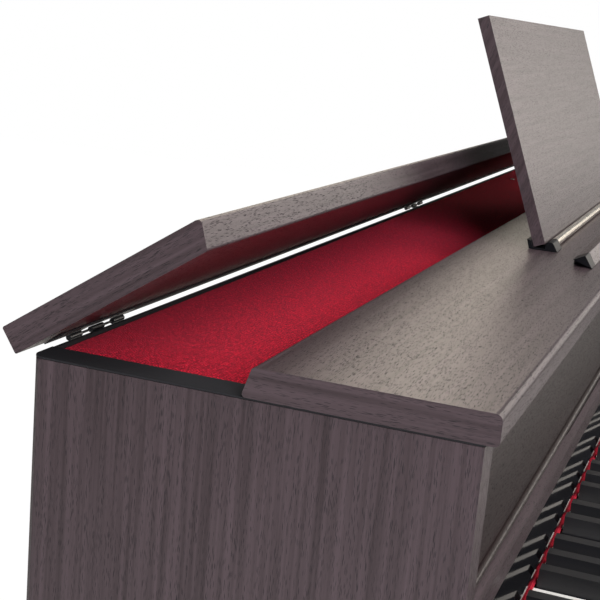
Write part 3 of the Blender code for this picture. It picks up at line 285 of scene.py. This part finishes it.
# %% Plastics, paint and lacquer
def skin(name, hex_code, rough, grit, depth, spread=0.06, **sockets):
    finish, shader = new_finish(name, **sockets)
    spot = add(finish, "ShaderNodeTexCoord")
    bumps = add(
        finish,
        "ShaderNodeTexNoise",
        {"Vector": spot.outputs["Object"]},
        inputs={"Scale": 1 / grit, "Detail": 3},
    )
    worn = add(
        finish,
        "ShaderNodeTexNoise",
        {"Vector": spot.outputs["Object"]},
        inputs={"Scale": 18, "Detail": 4},
    )
    red, green, blue, _ = colour(hex_code)
    tint = add(
        finish,
        "ShaderNodeValToRGB",
        {"Fac": worn.outputs["Fac"]},
        stops=((0.35, (red * 0.88, green * 0.88, blue * 0.88, 1)), (0.65, (red * 1.1, green * 1.1, blue * 1.1, 1))),
    )
    finish.node_tree.links.new(tint.outputs["Color"], shader.inputs["Base Color"])
    gloss = add(
        finish,
        "ShaderNodeMapRange",
        {"Value": worn.outputs["Fac"]},
        inputs={"To Min": rough - spread, "To Max": rough + spread},
    )
    finish.node_tree.links.new(gloss.outputs[0], shader.inputs["Roughness"])
    bump = add(
        finish,
        "ShaderNodeBump",
        {"Height": bumps.outputs["Fac"]},
        inputs={"Strength": 0.4, "Distance": depth},
    )
    finish.node_tree.links.new(bump.outputs[0], shader.inputs["Normal"])
    return finish


moulded_abs = skin("moulded_black_abs", "0f0f11", 0.45, 0.5 * MM, 0.00004, Specular_IOR_Level=0.12)
seal_strip = skin("black_seal_strip", "0e0e10", 0.70, 0.6 * MM, 0.00004)
hinge_paint = skin("black_painted_steel", "141416", 0.34, 0.4 * MM, 0.00002, Metallic=0.0)
gloss_acrylic = skin("gloss_black_acrylic", "070709", 0.09, 3 * MM, 0.000004, spread=0.02, IOR=1.49)
ebony_plastic = skin("matt_ebony_plastic", "121214", 0.36, 0.8 * MM, 0.00002)
chassis_plastic = skin("grey_chassis_plastic", "4a4b50", 0.55, 0.6 * MM, 0.00003)
back_board = skin("grey_hardboard", "6b6560", 0.75, 0.9 * MM, 0.00006)
dress(moulded_abs, "desk_foot_left", "desk_foot_right", "ledge_cap_left", "ledge_cap_right", "pedal_box")
dress(moulded_abs, "power_inlet", "pedal_adjuster", "volume_knob", "power_button")
dress(seal_strip, "left_top_seal", "right_top_seal", "lid_strip", "rear_rail")
for where in ("left", "middle", "right"):
    dress(hinge_paint, f"hinge_leaf_{where}", f"hinge_flap_{where}")
dress(gloss_acrylic, "control_panel")
dress(chassis_plastic, "key_chassis")
dress(back_board, "rear_panel")
black_keys = [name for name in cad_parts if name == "black_key_bank" or (name.startswith("key_") and name[-2] == "s")]
dress(ebony_plastic, *black_keys)
print("black finishes ready;", len(black_keys), "black key nodes")

# %% [markdown]
# ## Ivory-like key tops
# The white keys are moulded in acrylic with a satin skin that feels a little like ivory: a warm white, a
# faint lengthwise figure and a soft gloss under a thin clear coat.


# %% White keys
def key_ivory():
    finish, shader = new_finish("ivory_white_acrylic", IOR=1.49, Coat_Weight=0.25, Coat_Roughness=0.12)
    spot = add(finish, "ShaderNodeTexCoord")
    figure_place = add(
        finish,
        "ShaderNodeMapping",
        {"Vector": spot.outputs["Object"]},
        inputs={"Scale": (1 / (1.5 * MM), 1 / (40 * MM), 1 / (40 * MM))},
    )
    figure = add(finish, "ShaderNodeTexNoise", {"Vector": figure_place.outputs[0]}, inputs={"Scale": 1, "Detail": 3})
    tint = add(
        finish,
        "ShaderNodeValToRGB",
        {"Fac": figure.outputs["Fac"]},
        stops=((0.35, colour("e2dfd4")), (0.65, colour("ece9e0"))),
    )
    finish.node_tree.links.new(tint.outputs["Color"], shader.inputs["Base Color"])
    gloss = add(
        finish, "ShaderNodeMapRange", {"Value": figure.outputs["Fac"]}, inputs={"To Min": 0.24, "To Max": 0.36}
    )
    finish.node_tree.links.new(gloss.outputs[0], shader.inputs["Roughness"])
    return finish


white_names = [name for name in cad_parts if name.startswith("key_") and name[-1].isdigit()]
white_names = [name for name in white_names if name not in black_keys]
dress(key_ivory(), "white_key_bank", *white_names)
print("white key nodes:", len(white_names) + 1)

# %% [markdown]
# ## Plated rod and brass pedals
# The desk's rod is nickel-plated steel, drawn through a die, so its fine lines run along it. The pedals
# are cast brass, polished and then lacquered. A metal's colour is in its reflection, so both are fully
# metallic, and a drawn-out noise varies their roughness.


# %% Metals
def metal(name, hex_code, low, high, line_scale):
    finish, shader = new_finish(name, Metallic=1.0)
    spot = add(finish, "ShaderNodeTexCoord")
    lines_place = add(finish, "ShaderNodeMapping", {"Vector": spot.outputs["Object"]}, inputs={"Scale": line_scale})
    lines = add(finish, "ShaderNodeTexNoise", {"Vector": lines_place.outputs[0]}, inputs={"Scale": 1, "Detail": 3})
    red, green, blue, _ = colour(hex_code)
    tint = add(
        finish,
        "ShaderNodeValToRGB",
        {"Fac": lines.outputs["Fac"]},
        stops=((0.3, (red * 0.93, green * 0.93, blue * 0.93, 1)), (0.7, (red, green, blue, 1))),
    )
    finish.node_tree.links.new(tint.outputs["Color"], shader.inputs["Base Color"])
    gloss = add(finish, "ShaderNodeMapRange", {"Value": lines.outputs["Fac"]}, inputs={"To Min": low, "To Max": high})
    finish.node_tree.links.new(gloss.outputs[0], shader.inputs["Roughness"])
    return finish


dress(metal("drawn_nickel_plate", "d8d2c6", 0.20, 0.34, (30, 2500, 2500)), "desk_rod")
dress(metal("polished_brass", "d2a354", 0.14, 0.30, (900, 60, 900)), "soft_pedal", "sostenuto_pedal", "damper_pedal")
print("metals ready")

# %% [markdown]
# ## Woven speaker cloth
# The speaker board under the lid is covered in crimson polyester cloth that lets the sound through. Its
# threads cross every 0.8 mm or so; they are drawn at 2 mm, because finer ones vanish at this distance.
# Two wave patterns make warp and weft, and a noise breaks them into slubs. Sheen gives the pale bloom
# of fibres at a low angle.

# %% The cloth finish
THREAD = 2.0 * MM


def woven(name, dark, bright, thread, strength=0.9):
    finish, shader = new_finish(name, Sheen_Weight=0.35, Sheen_Roughness=0.45, Roughness=0.92)
    shader.inputs["Sheen Tint"].default_value = colour("ff5068")
    shader.inputs["Specular IOR Level"].default_value = 0.15
    spot = add(finish, "ShaderNodeTexCoord")
    slub = add(
        finish,
        "ShaderNodeTexNoise",
        {"Vector": spot.outputs["Object"]},
        inputs={"Scale": 1 / (1.2 * thread), "Detail": 4},
    )
    threads = []
    for direction in ("X", "Y"):
        wave = add(
            finish,
            "ShaderNodeTexWave",
            {"Vector": spot.outputs["Object"]},
            bands_direction=direction,
            inputs={"Scale": math.pi / 10 / thread, "Distortion": 9.0, "Detail": 3, "Detail Scale": 4.0},
        )
        threads.append(wave.outputs["Fac"])
    weave = add(finish, "ShaderNodeMath", {0: threads[0], 1: threads[1]}, operation="MULTIPLY")
    height = add(finish, "ShaderNodeMath", {0: weave.outputs[0], 1: slub.outputs["Fac"]}, operation="MULTIPLY")
    tint = add(
        finish,
        "ShaderNodeValToRGB",
        {"Fac": height.outputs[0]},
        stops=((0.02, colour(dark)), (0.42, colour(bright))),
    )
    finish.node_tree.links.new(tint.outputs["Color"], shader.inputs["Base Color"])
    bump = add(
        finish,
        "ShaderNodeBump",
        {"Height": height.outputs[0]},
        inputs={"Strength": strength, "Distance": 0.0005},
    )
    finish.node_tree.links.new(bump.outputs[0], shader.inputs["Normal"])
    return finish


speaker_red = woven("crimson_speaker_cloth", "5a0310", "e0102c", THREAD)
felt_red = woven("red_wool_felt", "8c1220", "c8283a", 0.9 * MM, strength=0.6)
print("cloth threads every", THREAD / MM, "mm")

# %% [markdown]
# ## The cloth on its board
# The cloth is stretched over the board and turned down over its edges, where a thin pad makes the edge
# round. A grid is laid over the board, its border points are drawn down round the edge, and the middle
# is left a hair proud, as taut cloth over a pad is. It replaces the plain solid.

# %% Model the speaker cloth
cloth_low, cloth_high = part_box("cloth_panel")
CLOTH_CROWN = 0.45 * MM
TURN_DOWN = 8 * MM
EDGE_ROUND = 1.6 * MM


def deselect():
    for item in bpy.context.selected_objects:
        item.select_set(False)


def stretched_cloth(name, low, high, crown, turn_down, edge_round):
    """A cloth skin over the top of a board, with round edges turned down at the four sides."""
    deselect()
    bpy.ops.mesh.primitive_plane_add(size=1, location=(0, 0, 0))
    cloth = bpy.context.object
    cloth.name = name
    flat = Matrix.Diagonal((high[0] - low[0] - 2 * edge_round, high[1] - low[1] - 2 * edge_round, 1, 1))
    centre = Vector(((low[0] + high[0]) / 2, (low[1] + high[1]) / 2, high[2]))
    cloth.data.transform(Matrix.Translation(centre) @ flat)
    bpy.ops.object.mode_set(mode="EDIT")
    bpy.ops.mesh.select_all(action="SELECT")
    bpy.ops.mesh.subdivide(number_cuts=24)
    bpy.ops.mesh.select_all(action="SELECT")
    bpy.ops.mesh.region_to_loop()
    for step in range(1, 5):
        bend = math.radians(90 * step / 4)
        before = math.radians(90 * (step - 1) / 4)
        out = edge_round * (math.sin(bend) - math.sin(before))
        fall = edge_round * (math.cos(before) - math.cos(bend))
        width = high[0] - low[0] - 2 * edge_round * (1 - math.sin(before))
        depth = high[1] - low[1] - 2 * edge_round * (1 - math.sin(before))
        bpy.ops.mesh.extrude_edges_move()
        bpy.ops.transform.resize(
            value=(1 + 2 * out / width, 1 + 2 * out / depth, 1), center_override=centre, orient_type="GLOBAL"
        )
        bpy.ops.transform.translate(value=(0, 0, -fall))
    bpy.ops.mesh.extrude_edges_move()
    bpy.ops.transform.translate(value=(0, 0, -(turn_down - edge_round)))
    bpy.ops.mesh.select_all(action="SELECT")
    bpy.ops.mesh.normals_make_consistent(inside=False)
    bpy.ops.object.mode_set(mode="OBJECT")
    for vert in cloth.data.vertices:
        along = 1 - (2 * (vert.co.x - centre.x) / (high[0] - low[0])) ** 2
        across = 1 - (2 * (vert.co.y - centre.y) / (high[1] - low[1])) ** 2
        if vert.co.z > high[2] - 1e-5:
            vert.co.z += crown * max(along, 0) ** 0.25 * max(across, 0) ** 0.5
    bpy.ops.object.shade_smooth()
    return cloth


cloth = stretched_cloth("speaker_cloth", cloth_low, cloth_high, CLOTH_CROWN, TURN_DOWN, EDGE_ROUND)
cloth.data.materials.append(speaker_red)
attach(cloth, "cabinet")
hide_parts("cloth_panel")

# %% [markdown]
# ## Felt at the key tails
# A strip of red felt closes the slot behind the keys. It is a bar whose long edges are soft and round.

# %% Model the felt
felt_low, felt_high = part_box("key_felt")


def soft_bar(name, low, high, edge):
    deselect()
    middle = (Vector(low) + Vector(high)) / 2
    bpy.ops.mesh.primitive_cube_add(size=1, location=(0, 0, 0))
    bar = bpy.context.object
    bar.name = name
    bar.data.transform(Matrix.Translation(middle) @ Matrix.Diagonal((*(Vector(high) - Vector(low)), 1)))
    bpy.ops.object.mode_set(mode="EDIT")
    bpy.ops.mesh.select_all(action="SELECT")
    bpy.ops.mesh.bevel(offset=edge, segments=3, affect="EDGES")
    bpy.ops.object.mode_set(mode="OBJECT")
    bpy.ops.object.shade_smooth()
    return bar


felt = soft_bar("tail_felt", felt_low, felt_high, 0.6 * MM)
felt.data.materials.append(felt_red)
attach(felt, "cabinet")
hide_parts("key_felt")
print("felt strip", round((felt_high[0] - felt_low[0]) / MM), "mm long")

# %% [markdown]
# ## The fixing button on the cloth
# Near the treble end a small pale plastic button holds the cloth to its board. It is the upper half of a
# sphere, flattened to a dome.

# %% Model the button
BUTTON_FROM_BASS_END = 1071 * MM
BUTTON_DEPTH = 23 * MM
BUTTON_RADIUS = 3 * MM
BUTTON_PROUD = 1.1 * MM


def dome(name, centre, radius, height):
    deselect()
    bpy.ops.mesh.primitive_uv_sphere_add(segments=24, ring_count=16, radius=1, location=(0, 0, 0))
    button = bpy.context.object
    button.name = name
    bpy.ops.object.mode_set(mode="EDIT")
    bpy.ops.mesh.select_all(action="SELECT")
    bpy.ops.mesh.bisect(plane_co=(0, 0, 0), plane_no=(0, 0, 1), clear_inner=True, use_fill=True)
    bpy.ops.mesh.select_all(action="SELECT")
    bpy.ops.mesh.normals_make_consistent(inside=False)
    bpy.ops.object.mode_set(mode="OBJECT")
    button.data.transform(Matrix.Translation(centre) @ Matrix.Diagonal((radius, radius, height, 1)))
    bpy.ops.object.shade_smooth_by_angle(angle=math.radians(40))
    return button


button_place = Vector((side_low[0] + BUTTON_FROM_BASS_END, REAR_Y - BUTTON_DEPTH, cloth_high[2] + 0.1 * MM))
button = dome("cloth_button", button_place, BUTTON_RADIUS, BUTTON_PROUD)
button.data.materials.append(skin("pale_nylon", "e6ddd8", 0.35, 0.8 * MM, 0.00002))
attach(button, "cabinet")
print("button at", [round(value, 3) for value in button_place])

# %% [markdown]
# ## Studio
# The piano stands on a pale sweep. To the camera the sweep and the sky are white; to the lamps the floor
# is ordinary pale paint, so it keeps the object's shadow. Two large lamps beyond the treble end, one
# behind and one before, give the sheen on the top board and on the music desk. One beside the bass end
# lights the side panel, and one overhead softens the rest.


# %% Light, floor and sky
def pale_floor():
    finish, shader = new_finish("pale_paper_sweep", Roughness=0.9)
    shader.inputs["Base Color"].default_value = colour("eeeeec")
    rays = add(finish, "ShaderNodeLightPath")
    glow = add(finish, "ShaderNodeEmission", inputs={"Color": (1, 1, 1, 1), "Strength": 1.03})
    share = add(finish, "ShaderNodeMath", {0: rays.outputs["Is Camera Ray"]}, operation="MULTIPLY", inputs={1: 0.97})
    mix = add(
        finish,
        "ShaderNodeMixShader",
        {"Fac": share.outputs[0], 1: shader.outputs["BSDF"], 2: glow.outputs["Emission"]},
    )
    finish.node_tree.links.new(mix.outputs[0], finish.node_tree.nodes["Material Output"].inputs["Surface"])
    return finish


bpy.ops.mesh.primitive_plane_add(size=14, location=(0, 0, 0))
floor = bpy.context.object
floor.name = "floor"
floor.data.materials.append(pale_floor())

world = bpy.data.worlds.new("white_studio")
bpy.context.scene.world = world
world.use_nodes = True
sky = world.node_tree
sky_rays = sky.nodes.new("ShaderNodeLightPath")
seen = sky.nodes.new("ShaderNodeMath")
seen.operation = "MAXIMUM"
sky.links.new(sky_rays.outputs["Is Camera Ray"], seen.inputs[0])
sky.links.new(sky_rays.outputs["Is Transmission Ray"], seen.inputs[1])
strength = sky.nodes.new("ShaderNodeMapRange")
sky.links.new(seen.outputs[0], strength.inputs["Value"])
strength.inputs["To Min"].default_value = 0.30
strength.inputs["To Max"].default_value = 1.0
sky.links.new(strength.outputs[0], sky.nodes["Background"].inputs["Strength"])
sky.nodes["Background"].inputs["Color"].default_value = (1, 1, 1, 1)


def lamp(name, spot, target, size, watts, hex_code):
    data = bpy.data.lights.new(name, "AREA")
    data.shape = "RECTANGLE"
    data.size, data.size_y = size
    data.energy = watts
    data.color = colour(hex_code)[:3]
    light = bpy.data.objects.new(name, data)
    bpy.context.scene.collection.objects.link(light)
    light.location = spot
    light.rotation_euler = (Vector(target) - Vector(spot)).to_track_quat("-Z", "Y").to_euler()
    return light


lamp("over_treble_end", (3.0, 1.7, 2.1), (0, 0, 0.9), (2.4, 1.8), 36, "fff2de")
lamp("before_treble_end", (2.8, -1.5, 1.8), (0, 0, 0.9), (1.8, 1.3), 24, "fff6ec")
lamp("beside_bass_end", (-2.3, -1.2, 1.9), (-0.6, 0, 0.8), (1.2, 1.2), 68, "f4f2ff")
lamp("overhead", (-0.5, -0.9, 2.8), (-0.4, 0, 0.9), (1.2, 1.2), 30, "ffffff")
bpy.context.scene.view_settings.view_transform = "Standard"
